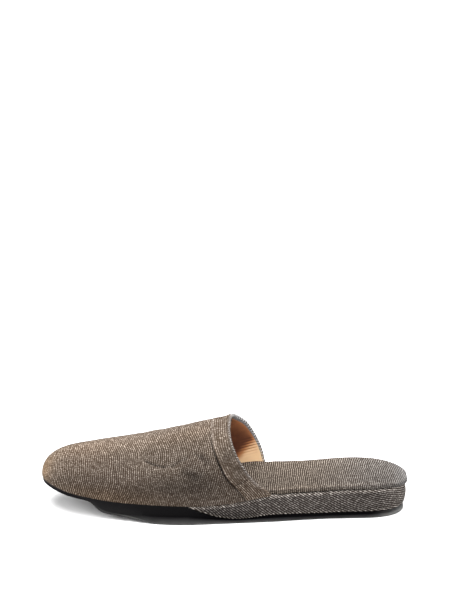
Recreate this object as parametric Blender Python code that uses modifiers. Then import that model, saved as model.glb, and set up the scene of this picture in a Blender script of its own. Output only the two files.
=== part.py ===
"""Closed-toe cloth mule for the left foot, standing on its sole.

The toe points along -X and the outer side of the foot faces -Y. Sizes are in
millimetres and are turned into metres where a vertex is placed.
"""
import math
from collections import namedtuple

import bmesh
import bpy
from mathutils import Vector

MM = 0.001

# Driving sizes
LENGTH = 282.0          # heel end of the footbed to the tip of the toe
GAP = 0.3               # between two pieces that touch
WALL = 2.2              # upper: cloth and leather lining together
BAND_THICK = 1.0        # cloth band along the topline
RIM = 4.0               # thickness of the footbed's edge

# Rounded ends of the outline seen from above
HEEL_ROUND_LATERAL = 34.0
HEEL_ROUND_MEDIAL = 46.0
HEEL_POWER = 2.5
TOE_ROUND = 110.0
TOE_POWER_LATERAL = 2.2
TOE_POWER_MEDIAL = 2.6
TOE_ROOT = 2.1
TIP_SHIFT = 4.0         # tip of the toe lies to the inner side

# Rounded nose of the upper seen from the side
NOSE_ROUND = 40.0
NOSE_POWER = 2.35
RIDGE_SHIFT = 4.0       # highest line of the vamp lies to the inner side
FULL_LATERAL = 2.15     # how square each half of a section is
FULL_MEDIAL = 2.3

# How far each sole piece stays inside the outline
SOLE_INSET = 0.7        # under the vamp and at the toe
SOLE_WAIST_INSET = 1.5  # under the wedge
SOLE_HEEL_INSET = 2.0
WEDGE_INSET = 0.7
WEDGE_HEEL_INSET = 1.5
SIDE_FLARE = 0.08       # outsole: outward lean for each millimetre of thickness
SOLE_SOFT = 1.0         # rounding of the outsole's lower edge
WEDGE_SOFT = 0.8        # rounding of the wedge's edges
SOFT_SHARE = 0.3        # most of a thin edge that its rounding takes
NOSE_TIP = 167.5        # front end of the wedge
NOSE_BLEND = 40.0       # length over which the outsole draws in behind the nose

# Where the footbed steps in from the wedge's side to the inside of the upper
STEP_START = 6.0        # behind the end of the wing
STEP_END = 1.5
PAD_CLEAR = WALL + 2 * GAP
PAD_TOE_CLEAR = PAD_CLEAR + 1.5
PAD_END = 9.0           # length over which the pad rounds off at the heel
PAD_END_SHARE = 0.45    # thickness that is left at the very end
PAD_MOST_INSET = 0.8    # share of a narrow section that an inset may take

# The footbed's inner edge is thicker under the arch
ARCH_RISE = 3.6
ARCH_REACH = 13.0       # from the inner edge
ARCH_BACK = 92.0        # where it begins, is highest and has run out
ARCH_TOP = 130.0
ARCH_FRONT = 172.0

# Sizes of the meshes
COLUMNS = 36            # around the upper, from side to side
BAND_ROWS = 4
VAMP_ROWS = 26
ROW_SPREAD = 1.15       # above 1, rows are closer behind the band
STATIONS = 56           # along each sole piece
BLUNT = 0.1             # first and last section, short of the rounded end

# Half widths and the height of the seam where the upper and the footbed meet the sole
Plan = namedtuple("Plan", "along lateral medial seat")
PLAN = [
    Plan(0, 33.2, 31.6, 19.4),
    Plan(10, 33.4, 31.8, 20.6),
    Plan(22, 33.8, 32.0, 21.4),
    Plan(50, 35.8, 31.2, 21.4),
    Plan(75, 38.6, 28.6, 20.9),
    Plan(95, 41.0, 27.4, 20.4),
    Plan(110, 42.6, 28.8, 18.9),
    Plan(125, 43.9, 32.0, 15.9),
    Plan(140, 45.0, 36.6, 13.6),
    Plan(160, 46.3, 42.6, 12.2),
    Plan(180, 47.2, 47.2, 12.9),
    Plan(200, 47.6, 49.4, 13.7),
    Plan(222, 48.0, 49.6, 14.5),
    Plan(240, 48.0, 49.4, 15.3),
    Plan(260, 48.0, 49.0, 16.9),
    Plan(282, 48.0, 49.0, 19.8),
]

# Height of the vamp's ridge, before the nose rounds it off
Ridge = namedtuple("Ridge", "along height")
RIDGE = [
    Ridge(95, 84.0),
    Ridge(115, 74.8),
    Ridge(135, 66.4),
    Ridge(158, 61.3),
    Ridge(177, 56.8),
    Ridge(196, 52.7),
    Ridge(214, 49.0),
    Ridge(233, 46.2),
    Ridge(251, 43.9),
    Ridge(282, 44.8),
]

# Underside of the outsole: flat on the ground from the heel to the ball, a slow roll, then up to a thin toe
Tread = namedtuple("Tread", "along height")
TREAD = [
    Tread(0, 0.0),
    Tread(190, 0.0),
    Tread(205, 1.2),
    Tread(215, 2.0),
    Tread(226, 3.2),
    Tread(233, 4.6),
    Tread(238, 7.0),
    Tread(243, 10.0),
    Tread(250, 12.2),
    Tread(265, 14.7),
    Tread(282, 16.6),
]

# Underside of the wedge, which turns up to its nose
Under = namedtuple("Under", "along height")
UNDER = [
    Under(0, 4.1),
    Under(60, 4.1),
    Under(95, 4.3),
    Under(110, 3.8),
    Under(122, 2.2),
    Under(130, 1.7),
    Under(137, 2.0),
    Under(147, 3.9),
    Under(158, 7.6),
    Under(168, 11.3),
    Under(190, 11.6),
]

# Edge of the opening and the band's front edge, by angle around the foot:
# 0 is the outer seam, 90 the ridge and 180 the inner seam
Topline = namedtuple("Topline", "around along band")
TOPLINE = [
    Topline(0, 105.5, 18.7),
    Topline(10, 116.5, 15.0),
    Topline(21, 123.8, 15.5),
    Topline(41, 132.2, 14.5),
    Topline(63, 136.2, 14.5),
    Topline(90, 135.0, 15.5),
    Topline(117, 131.4, 15.5),
    Topline(139, 122.1, 15.5),
    Topline(159, 114.4, 16.0),
    Topline(170, 110.6, 16.0),
    Topline(180, 108.0, 16.0),
]

# Half of the footbed's section, from the underside to the crowned top
Pad = namedtuple("Pad", "inset rise")
PAD = [
    Pad(1.0, 0.0),
    Pad(0.1, 0.9),
    Pad(0.0, 2.2),
    Pad(0.7, 3.2),
    Pad(2.2, 3.8),
    Pad(6.0, 4.1),
    Pad(16.0, 4.6),
]


def table_value(rows, column, at):
    """Smooth curve through one column of a table, by its first column."""
    last = len(rows) - 1
    at = min(max(at, rows[0][0]), rows[last][0])
    low = 0
    while low < last - 1 and at > rows[low + 1][0]:
        low += 1

    def slope(index):
        before = rows[max(index - 1, 0)]
        after = rows[min(index + 1, last)]
        return (getattr(after, column) - getattr(before, column)) / (after[0] - before[0])

    start, end = rows[low], rows[low + 1]
    span = end[0] - start[0]
    t = (at - start[0]) / span
    rise = getattr(end, column) - getattr(start, column)
    a = slope(low) * span - rise
    b = rise - slope(low + 1) * span
    return getattr(start, column) + rise * t + t * (1 - t) * (a * (1 - t) + b * t)


def blend(start, end, at):
    """Soft step from 0 to 1."""
    t = min(max((at - start) / (end - start), 0.0), 1.0)
    return t * t * (3 - 2 * t)


def heel_round(distance, reach):
    share = 1 - min(max(distance / reach, 0.0), 1.0)
    return (1 - share ** HEEL_POWER) ** (1 / HEEL_POWER)


def toe_share(distance):
    """0 where the toe begins to round off, 1 at its tip, by distance to the tip."""
    return 1 - min(max(distance / TOE_ROUND, 0.0), 1.0)


def edges(along, inset=0.0, heel=0.0, toe=0.0):
    """Outer and inner edge (y) of the outline, moved in by some distances."""
    share = toe_share(LENGTH - along - toe)
    middle = TIP_SHIFT * share ** 2
    lateral = table_value(PLAN, "lateral", along) - inset
    medial = table_value(PLAN, "medial", along) - inset
    lateral *= heel_round(along - heel, HEEL_ROUND_LATERAL)
    medial *= heel_round(along - heel, HEEL_ROUND_MEDIAL)
    lateral *= (1 - share ** TOE_POWER_LATERAL) ** (1 / TOE_ROOT)
    medial *= (1 - share ** TOE_POWER_MEDIAL) ** (1 / TOE_ROOT)
    return middle - lateral, middle + medial


def seat(along):
    return table_value(PLAN, "seat", along)


def centre_line():
    """Middle of the widest stretch, which becomes y = 0."""
    spans = [edges(along) for along in range(int(LENGTH))]
    return (min(low for low, high in spans) + max(high for low, high in spans)) / 2


CENTRE = centre_line()


def place(along, across, height):
    return ((LENGTH / 2 - along) * MM, (across - CENTRE) * MM, height * MM)


def vamp_point(along, around):
    """Point on the outside of the upper, in millimetres, at an angle around the foot."""
    share = toe_share(LENGTH - along)
    low, high = edges(along)
    ridge = TIP_SHIFT * share ** 2 + RIDGE_SHIFT * math.sqrt(1 - share ** 2)
    nose = 1 - min((LENGTH - along) / NOSE_ROUND, 1.0)
    base = seat(along)
    rise = table_value(RIDGE, "height", along) - base
    rise *= (1 - nose ** NOSE_POWER) ** (1 / NOSE_POWER)
    side = math.cos(around)
    if side >= 0:
        full = FULL_LATERAL
        across = ridge + (low - ridge) * side ** (2 / full)
    else:
        full = FULL_MEDIAL
        across = ridge + (high - ridge) * (-side) ** (2 / full)
    height = base + GAP + rise * max(math.sin(around), 0.0) ** (2 / full)
    return along, across, height


def topline(around, column):
    return table_value(TOPLINE, column, math.degrees(around))


def vamp_normal(along, around):
    """Outward direction of the upper's surface, from points a short way around it."""
    stride, turn = 0.5, 0.02
    around = min(max(around, turn), math.pi - turn)
    ahead = Vector(vamp_point(along + stride, around))
    behind = Vector(vamp_point(along - stride, around))
    lower = Vector(vamp_point(along, around - turn))
    upper = Vector(vamp_point(along, around + turn))
    return (ahead - behind).cross(upper - lower).normalized()


def new_object(name, bm, collection, material):
    bmesh.ops.recalc_face_normals(bm, faces=bm.faces)
    mesh = bpy.data.meshes.new(name)
    bm.to_mesh(mesh)
    bm.free()
    mesh.shade_smooth()
    mesh.set_sharp_from_angle(angle=math.radians(40))
    mesh.materials.append(material)
    piece = bpy.data.objects.new(name, mesh)
    collection.objects.link(piece)
    return piece


def shaped_grid(rows, columns, point):
    """Grid whose vertices are placed by point(row share, column share)."""
    bm = bmesh.new()
    bmesh.ops.create_grid(bm, x_segments=rows, y_segments=columns, size=0.5)
    for vert in bm.verts:
        vert.co = place(*point(vert.co.x + 0.5, vert.co.y + 0.5))
    bmesh.ops.remove_doubles(bm, verts=bm.verts, dist=1e-6)
    return bm


def closed_loft(section, first, last):
    """Solid through the rings that section(along) gives, denser at both ends."""
    corners = len(section(first))

    def point(row, column):
        along = first + (last - first) * (1 - math.cos(math.pi * row)) / 2
        across, height = section(along)[round(column * corners) % corners]
        return along, across, height

    bm = shaped_grid(STATIONS, corners, point)
    bmesh.ops.holes_fill(bm, edges=bm.edges, sides=0)
    return bm


def ring(low, high, half, inner_half=None):
    """Closed section from the inset and height of each corner of one half, or of each."""
    inner = [(high - inset, height) for inset, height in inner_half or half]
    outer = [(low + inset, height) for inset, height in reversed(half)]
    return inner + outer


def vamp_along(row, around):
    """Distance from the heel of a row of the upper: band rows first, then the vamp."""
    edge = topline(around, "along")
    front = edge + topline(around, "band")
    index = row * (BAND_ROWS + VAMP_ROWS)
    if index <= BAND_ROWS:
        return edge + (front - edge) * index / BAND_ROWS
    share = (index - BAND_ROWS) / VAMP_ROWS
    return front + (LENGTH - front) * math.sin(share * math.pi / 2) ** ROW_SPREAD


def make_upper(collection, material):
    def point(row, column):
        around = math.pi * column
        return vamp_point(vamp_along(row, around), around)

    bm = shaped_grid(BAND_ROWS + VAMP_ROWS, COLUMNS, point)
    upper = new_object("upper", bm, collection, material)
    shell = upper.modifiers.new("wall", "SOLIDIFY")
    shell.thickness = WALL * MM
    shell.offset = -1.0
    return upper


def make_band(collection, material):
    def point(row, column):
        around = math.pi * column
        along = vamp_along(row * BAND_ROWS / (BAND_ROWS + VAMP_ROWS), around)
        return Vector(vamp_point(along, around)) + GAP * vamp_normal(along, around)

    bm = shaped_grid(BAND_ROWS, COLUMNS, point)
    band = new_object("topline_band", bm, collection, material)
    shell = band.modifiers.new("cloth", "SOLIDIFY")
    shell.thickness = BAND_THICK * MM
    shell.offset = 1.0
    return band


def make_footbed(collection, material):
    """Over the whole wedge behind the wings of the upper, inside its walls in front."""
    wing_lateral = TOPLINE[0].along
    wing_medial = TOPLINE[-1].along

    def section(along):
        low, high = edges(along, toe=PAD_TOE_CLEAR)
        low += PAD_CLEAR * blend(wing_lateral - STEP_START, wing_lateral - STEP_END, along)
        high -= PAD_CLEAR * blend(wing_medial - STEP_START, wing_medial - STEP_END, along)
        most = PAD_MOST_INSET * (high - low) / 2
        end = 1 - min(along / PAD_END, 1.0)
        plump = PAD_END_SHARE + (1 - PAD_END_SHARE) * math.sqrt(1 - end ** 2)
        middle = seat(along) + GAP + RIM / 2
        arch = blend(ARCH_BACK, ARCH_TOP, along) * blend(ARCH_FRONT, ARCH_TOP, along) * ARCH_RISE / RIM

        def corner(row, extra):
            grown = row.rise * (1 + extra * max(1 - row.inset / ARCH_REACH, 0.0))
            return min(row.inset, most), middle + (grown - RIM / 2) * plump

        return ring(low, high, [corner(row, 0.0) for row in PAD], [corner(row, arch) for row in PAD])

    bm = closed_loft(section, BLUNT, LENGTH - PAD_TOE_CLEAR - BLUNT)
    return new_object("footbed", bm, collection, material)


def make_wedge(collection, material):
    def section(along):
        low, high = edges(along, inset=WEDGE_INSET, heel=WEDGE_HEEL_INSET)
        top = seat(along)
        bottom = table_value(UNDER, "height", along)
        soft = min(WEDGE_SOFT, (top - bottom) * SOFT_SHARE)
        half = [
            (soft, bottom),
            (0, bottom + soft),
            (0, (top + bottom) / 2),
            (0, top - soft),
            (soft, top),
        ]
        return ring(low, high, half)

    bm = closed_loft(section, WEDGE_HEEL_INSET + BLUNT, NOSE_TIP)
    return new_object("heel_wedge", bm, collection, material)


def make_outsole(collection, material):
    """Thin under the wedge, thicker under the ball and thin again at the lifted toe."""

    def section(along):
        behind = blend(NOSE_TIP, NOSE_TIP - NOSE_BLEND, along)
        inset = SOLE_INSET + (SOLE_WAIST_INSET - SOLE_INSET) * behind
        low, high = edges(along, inset=inset, heel=SOLE_HEEL_INSET, toe=SOLE_INSET)
        top = seat(along)
        if along < NOSE_TIP + GAP:
            top = min(top, table_value(UNDER, "height", along) - GAP)
        bottom = max(table_value(TREAD, "height", along), 0.0)
        thick = top - bottom
        soft = min(SOLE_SOFT, thick * SOFT_SHARE)
        flare = min(thick, (high - low) / 2) * SIDE_FLARE
        half = [
            (soft - flare, bottom),
            (-flare, bottom + soft),
            (-flare / 3, bottom + thick / 2),
            (0, top),
        ]
        return ring(low, high, half)

    bm = closed_loft(section, SOLE_HEEL_INSET + BLUNT, LENGTH - SOLE_INSET - BLUNT)
    return new_object("outsole", bm, collection, material)


def make_material(name, colour, roughness):
    material = bpy.data.materials.new(name)
    material.use_nodes = True
    shader = material.node_tree.nodes["Principled BSDF"]
    shader.inputs["Base Color"].default_value = (*colour, 1.0)
    shader.inputs["Roughness"].default_value = roughness
    shader.inputs["Metallic"].default_value = 0.0
    return material


def main():
    for old in list(bpy.data.objects):
        bpy.data.objects.remove(old, do_unlink=True)
    mule = bpy.data.collections.new("mule")
    bpy.context.scene.collection.children.link(mule)

    cloth = make_material("pepper_twill", (0.150, 0.118, 0.088), 0.85)
    band_cloth = make_material("pepper_twill_band", (0.130, 0.105, 0.084), 0.85)
    footbed_cloth = make_material("pepper_twill_footbed", (0.160, 0.135, 0.110), 0.85)
    wedge_cloth = make_material("pepper_twill_wedge", (0.110, 0.095, 0.080), 0.85)
    rubber = make_material("black_rubber", (0.012, 0.011, 0.011), 0.60)

    make_outsole(mule, rubber)
    make_wedge(mule, wedge_cloth)
    make_footbed(mule, footbed_cloth)
    make_upper(mule, cloth)
    make_band(mule, band_cloth)


main()
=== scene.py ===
import math

import bpy
import numpy as np
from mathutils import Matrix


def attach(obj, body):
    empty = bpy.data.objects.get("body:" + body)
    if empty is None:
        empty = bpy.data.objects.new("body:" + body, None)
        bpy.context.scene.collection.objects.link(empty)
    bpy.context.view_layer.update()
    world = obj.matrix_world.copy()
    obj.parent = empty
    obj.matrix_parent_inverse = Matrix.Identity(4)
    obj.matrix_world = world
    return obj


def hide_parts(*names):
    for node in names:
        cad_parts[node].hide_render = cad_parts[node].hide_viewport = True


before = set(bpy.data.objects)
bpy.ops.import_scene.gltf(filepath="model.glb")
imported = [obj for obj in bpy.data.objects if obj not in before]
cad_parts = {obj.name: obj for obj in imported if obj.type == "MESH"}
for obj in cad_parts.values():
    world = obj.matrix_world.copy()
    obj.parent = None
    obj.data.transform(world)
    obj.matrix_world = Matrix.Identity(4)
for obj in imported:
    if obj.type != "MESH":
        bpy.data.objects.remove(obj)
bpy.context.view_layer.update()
print("frame loaded with", len(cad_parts), "nodes")

mm = 0.001
mergeGap = 0.002 * mm
smoothAngle = math.radians(50.0)
body = "root"

# the last in millimetres: along runs from the heel to the toe, across to the inner side
last = {
    "length": 282.0,
    "heelRound": (34.0, 46.0),  # outer side, inner side
    "heelPower": 2.5,
    "toeRound": 110.0,  # length of the toe's curve
    "toePower": (2.2, 2.6),  # outer side, inner side
    "toeRoot": 2.1,
    "tipShift": 4.0,  # the tip of the toe lies towards the inner side
    "noseRound": 40.0,  # where the ridge bends down to the tip
    "nosePower": 2.35,
    "ridgeShift": 4.0,
    "fullness": (2.15, 2.3),  # roundness of the upper, outer side and inner side
    "seatGap": 0.3,
    "girth": 42.0,  # radius that turns an angle around the foot into a distance
    "along": [0, 10, 22, 50, 75, 95, 110, 125, 140, 160, 180, 200, 222, 240, 260, 282],
    "outer": [33.2, 33.4, 33.8, 35.8, 38.6, 41.0, 42.6, 43.9,
              45.0, 46.3, 47.2, 47.6, 48.0, 48.0, 48.0, 48.0],
    "inner": [31.6, 31.8, 32.0, 31.2, 28.6, 27.4, 28.8, 32.0,
              36.6, 42.6, 47.2, 49.4, 49.6, 49.4, 49.0, 49.0],
    "seat": [19.4, 20.6, 21.4, 21.4, 20.9, 20.4, 18.9, 15.9,
             13.6, 12.2, 12.9, 13.7, 14.5, 15.6, 17.3, 21.5],
    "ridgeAlong": [95, 115, 135, 158, 177, 196, 214, 233, 251, 282],
    "ridge": [84.0, 74.8, 66.4, 61.3, 56.8, 52.7, 49.0, 46.2, 43.9, 44.8],
}

# edge of the opening, by degrees around the foot from the outer seam to the inner one
opening = {
    "around": [0, 10, 21, 41, 63, 90, 117, 139, 159, 170, 180],
    "along": [105.5, 116.5, 123.8, 132.2, 136.2, 135.0, 131.4, 122.1, 114.4, 110.6, 108.0],
    "band": [18.7, 15.0, 15.5, 14.5, 14.5, 15.5, 15.5, 15.5, 16.0, 16.0, 16.0],
}


def through(places, values, at):
    # smooth curve through a table
    x = np.array(places, float)
    y = np.array(values, float)
    before = np.maximum(np.arange(len(x)) - 1, 0)
    after = np.minimum(np.arange(len(x)) + 1, len(x) - 1)
    slope = (y[after] - y[before]) / (x[after] - x[before])
    at = np.clip(at, x[0], x[-1])
    low = np.clip(np.searchsorted(x, at, side="right") - 1, 0, len(x) - 2)
    span = x[low + 1] - x[low]
    t = (at - x[low]) / span
    rise = y[low + 1] - y[low]
    start = slope[low] * span - rise
    end = rise - slope[low + 1] * span
    return y[low] + rise * t + t * (1 - t) * (start * (1 - t) + end * t)


def softStep(start, end, at):
    t = np.clip((at - start) / (end - start), 0.0, 1.0)
    return t * t * (3 - 2 * t)


def hump(at, middle, reach):
    return np.exp(-((at - middle) / reach) ** 2)


def mixed(a, b, share):
    return a + (b - a) * share


def stepOf(look, at):
    # look: amount, place where it starts, place where it is full
    amount, start, end = look
    return amount * softStep(start, end, at)


def humpOf(look, at):
    # look: amount, place, reach
    amount, middle, reach = look
    return amount * hump(at, middle, reach)


def toeShare(distance):
    return 1 - np.clip(distance / last["toeRound"], 0.0, 1.0)


def heelShare(distance, reach):
    share = 1 - np.clip(distance / reach, 0.0, 1.0)
    return (1 - share ** last["heelPower"]) ** (1 / last["heelPower"])


def outline(along, inset=0.0, heel=0.0, toe=0.0):
    # outer and inner edge of the last seen from above
    share = toeShare(last["length"] - along - toe)
    middle = last["tipShift"] * share ** 2
    sides = []
    for side, reach, power in zip(("outer", "inner"), last["heelRound"], last["toePower"]):
        width = through(last["along"], last[side], along) - inset
        width = width * heelShare(along - heel, reach)
        sides.append(width * (1 - share ** power) ** (1 / last["toeRoot"]))
    return middle - sides[0], middle + sides[1]


def seat(along):
    return through(last["along"], last["seat"], along)


def middleLine():
    low, high = outline(np.arange(int(last["length"]), dtype=float))
    return (low.min() + high.max()) / 2


centre = middleLine()


def toScene(points):
    x = last["length"] / 2 - points[..., 0]
    y = points[..., 1] - centre
    return np.stack([x, y, points[..., 2]], axis=-1) * mm


def vampPoint(along, around):
    # outside of the upper, at an angle around the foot
    share = toeShare(last["length"] - along)
    low, high = outline(along)
    ridge = last["tipShift"] * share ** 2 + last["ridgeShift"] * np.sqrt(1 - share ** 2)
    nose = np.clip(1 - (last["length"] - along) / last["noseRound"], 0.0, 1.0)
    base = seat(along)
    rise = through(last["ridgeAlong"], last["ridge"], along) - base
    rise = rise * (1 - nose ** last["nosePower"]) ** (1 / last["nosePower"])
    side = np.cos(around)
    full = np.where(side >= 0, *last["fullness"])
    edge = np.where(side >= 0, low, high)
    across = ridge + (edge - ridge) * np.abs(side) ** (2 / full)
    height = base + last["seatGap"] + rise * np.maximum(np.sin(around), 0.0) ** (2 / full)
    return np.stack([along + 0 * around, across, height], axis=-1)


def unit(vectors):
    return vectors / np.maximum(np.linalg.norm(vectors, axis=-1, keepdims=True), 1e-12)


def vampNormal(along, around):
    stride, turn = 0.5, 0.02
    around = np.clip(around, turn, math.pi - turn)
    along = np.minimum(along, last["length"] - 2 * stride)
    run = vampPoint(along + stride, around) - vampPoint(along - stride, around)
    climb = vampPoint(along, around + turn) - vampPoint(along, around - turn)
    return unit(np.cross(run, climb))


def openingEdge(around):
    return through(opening["around"], opening["along"], np.degrees(around))


def bandWidth(around):
    return through(opening["around"], opening["band"], np.degrees(around))


def trough(along, around, crease):
    # a soft valley or ridge that follows a few points of the upper
    width, depth, path = crease
    place = np.stack([along, around * last["girth"]], axis=-1)
    path = np.array([(a, math.radians(turn) * last["girth"]) for a, turn in path])
    nearest = np.full(np.shape(along), 1e9)
    for start, end in zip(path[:-1], path[1:]):
        step = end - start
        share = np.clip(((place - start) @ step) / (step @ step), 0.0, 1.0)
        gap = np.linalg.norm(place - start - share[..., None] * step, axis=-1)
        nearest = np.minimum(nearest, gap)
    return depth * hump(nearest, 0.0, width)


def spots(places, along, around):
    # sum of soft round patches: along, around in degrees, length, width, amount
    total = 0 * along
    for middle, turn, long, wide, amount in places:
        gap = (around - math.radians(turn)) * last["girth"]
        total = total + amount * hump(along, middle, long) * hump(gap, 0.0, wide)
    return total


def distances(points, axis):
    # arc length from the first point, along one axis of a lattice of points
    step = np.linalg.norm(np.diff(points, axis=axis), axis=-1)
    start = np.zeros_like(np.take(step, [0], axis=axis))
    return np.concatenate([start, np.cumsum(step, axis=axis)], axis=axis)


def placesOf(piece):
    flat = np.empty(len(piece.data.vertices) * 3, np.float32)
    piece.data.vertices.foreach_get("co", flat)
    return flat.reshape(-1, 3).astype(float)


def setPlaces(piece, places):
    piece.data.vertices.foreach_set("co", places.astype(np.float32).ravel())
    piece.data.update()


def setShape(piece, points):
    setPlaces(piece, toScene(points))


def newLattice(name, rows, columns):
    # a flat grid as a start; its shares of the way along rows and columns
    bpy.ops.object.select_all(action="DESELECT")
    bpy.ops.mesh.primitive_grid_add(x_subdivisions=rows, y_subdivisions=columns, size=1.0)
    piece = bpy.context.object
    piece.name = name
    piece.data.name = name
    flat = placesOf(piece).reshape(columns + 1, rows + 1, 3)
    return piece, flat[..., 0] + 0.5, flat[..., 1] + 0.5


def paint(piece, name, *values):
    # three numbers for each vertex, which the material reads by name
    layer = piece.data.attributes.new(name, "FLOAT_VECTOR", "POINT")
    layer.data.foreach_set("vector", np.stack(values, axis=-1).astype(np.float32).ravel())


def sewUp(fill=False):
    # merges doubles, closes the ends where asked, turns all faces outwards
    bpy.ops.object.mode_set(mode="EDIT")
    bpy.ops.mesh.select_all(action="SELECT")
    bpy.ops.mesh.remove_doubles(threshold=mergeGap)
    if fill:
        bpy.ops.mesh.select_all(action="DESELECT")
        bpy.ops.mesh.select_non_manifold()
        bpy.ops.mesh.fill_holes(sides=0)
    bpy.ops.mesh.select_all(action="SELECT")
    bpy.ops.mesh.normals_make_consistent(inside=False)
    bpy.ops.object.mode_set(mode="OBJECT")


def thicken(piece, thickness):
    wall = piece.modifiers.new("wall", "SOLIDIFY")
    wall.thickness = thickness * mm
    wall.offset = -1.0
    bpy.ops.object.modifier_apply(modifier=wall.name)


def handOver(piece, slot, material, *nodes):
    bpy.ops.object.shade_smooth_by_angle(angle=smoothAngle)
    piece.data.materials.clear()
    piece.data.materials.append(material)
    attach(piece, body)
    if nodes:
        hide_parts(*nodes)
    print(piece.name, "has", len(piece.data.polygons), "faces")


# nodes of a material

def newMaterial(name):
    material = bpy.data.materials.new(name)
    material.use_nodes = True
    tree = material.node_tree
    return material, tree, tree.nodes["Principled BSDF"].inputs


def feed(tree, socket, value):
    if isinstance(value, bpy.types.NodeSocket):
        tree.links.new(value, socket)
    elif isinstance(value, tuple) and socket.type == "RGBA":
        socket.default_value = (*value, 1.0)
    else:
        socket.default_value = value


def addNode(tree, kind, inputs=(), **settings):
    node = tree.nodes.new("ShaderNode" + kind)
    for name, value in settings.items():
        setattr(node, name, value)
    for key, value in dict(inputs).items():
        feed(tree, node.inputs[key], value)
    return node.outputs


def calc(tree, operation, *values):
    return addNode(tree, "Math", enumerate(values), operation=operation)[0]


def blend(tree, share, first, second, way="MIX"):
    node = tree.nodes.new("ShaderNodeMix")
    node.data_type = "RGBA"
    node.blend_type = way
    colours = [socket for socket in node.inputs if socket.type == "RGBA"]
    feed(tree, node.inputs[0], share)
    feed(tree, colours[0], first)
    feed(tree, colours[1], second)
    return [socket for socket in node.outputs if socket.type == "RGBA"][0]


def split(tree, vector):
    return addNode(tree, "SeparateXYZ", [(0, vector)])


def join(tree, x, y, z=0.0):
    return addNode(tree, "CombineXYZ", enumerate((x, y, z)))[0]


def attribute(tree, name):
    return addNode(tree, "Attribute", attribute_name=name)["Vector"]


def place(tree):
    return addNode(tree, "TexCoord")["Object"]


def noise(tree, vector, scale, detail=2.0):
    return addNode(tree, "TexNoise", {"Vector": vector, "Scale": scale, "Detail": detail})["Fac"]


def chanceOf(tree, vector):
    return addNode(tree, "TexWhiteNoise", {"Vector": vector}, noise_dimensions="2D")["Value"]


def ramp(tree, value, low, high):
    inputs = {"Value": value, "From Min": low, "From Max": high}
    return addNode(tree, "MapRange", inputs, interpolation_type="SMOOTHSTEP")["Result"]


def bump(tree, height, distance, strength):
    inputs = {"Distance": distance, "Strength": strength, "Height": height}
    return addNode(tree, "Bump", inputs)["Normal"]


def rounded(tree, value):
    # half a wave over each whole number
    return calc(tree, "SINE", calc(tree, "MULTIPLY", calc(tree, "FRACT", value), math.pi))


def fineGrain(tree, shader, look):
    unevenness, depth = 0.2, 0.0001
    grain = noise(tree, place(tree), look["grainScale"])
    roughness = calc(tree, "MULTIPLY_ADD", grain, unevenness, look["roughness"])
    feed(tree, shader["Roughness"], roughness)
    feed(tree, shader["Normal"], bump(tree, grain, depth, look["bumpStrength"]))


# pepper twill: every piece of cloth reads its own weave, and its tone with painted light and shade

cloth = {
    "pitch": 1.6,  # from wale to wale, mm
    "dash": 1.15,  # length of a float in wale pitches
    "stagger": 3.0,  # floats of neighbouring wales start anywhere
    "drift": (0.09, 1.6),  # slow bends of the wales: scale, amount
    "waver": 0.6,  # unevenness of each wale
    "waverScale": 0.6,
    "sharp": 3.6,  # higher: thinner yarn, wider gaps
    "plainRidge": 0.4,  # height of the yarn where the wales are blurred
    "notch": 0.7,  # how dark the ends of a float are
    "least": 0.45,  # how much of the darkest float shows
    "rarity": 1.3,  # higher: fewer pale floats
    "grain": 1.2,
    "grainScale": 2.2,
    "patchy": 0.5,  # some places show more pale yarn than others
    "patchScale": 0.45,
    "blotch": 0.2,
    "blotchScale": 70.0,
    "dark": (0.0205, 0.0115, 0.0052),
    "light": (0.285, 0.242, 0.208),
    "warm": (1.22, 1.0, 0.74),
    "worn": (0.15, 0.11, 0.075),
    "roughness": 0.9,
    "specular": 0.06,
    "bump": 0.0004,
    "bumpStrength": 0.7,
}


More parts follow.
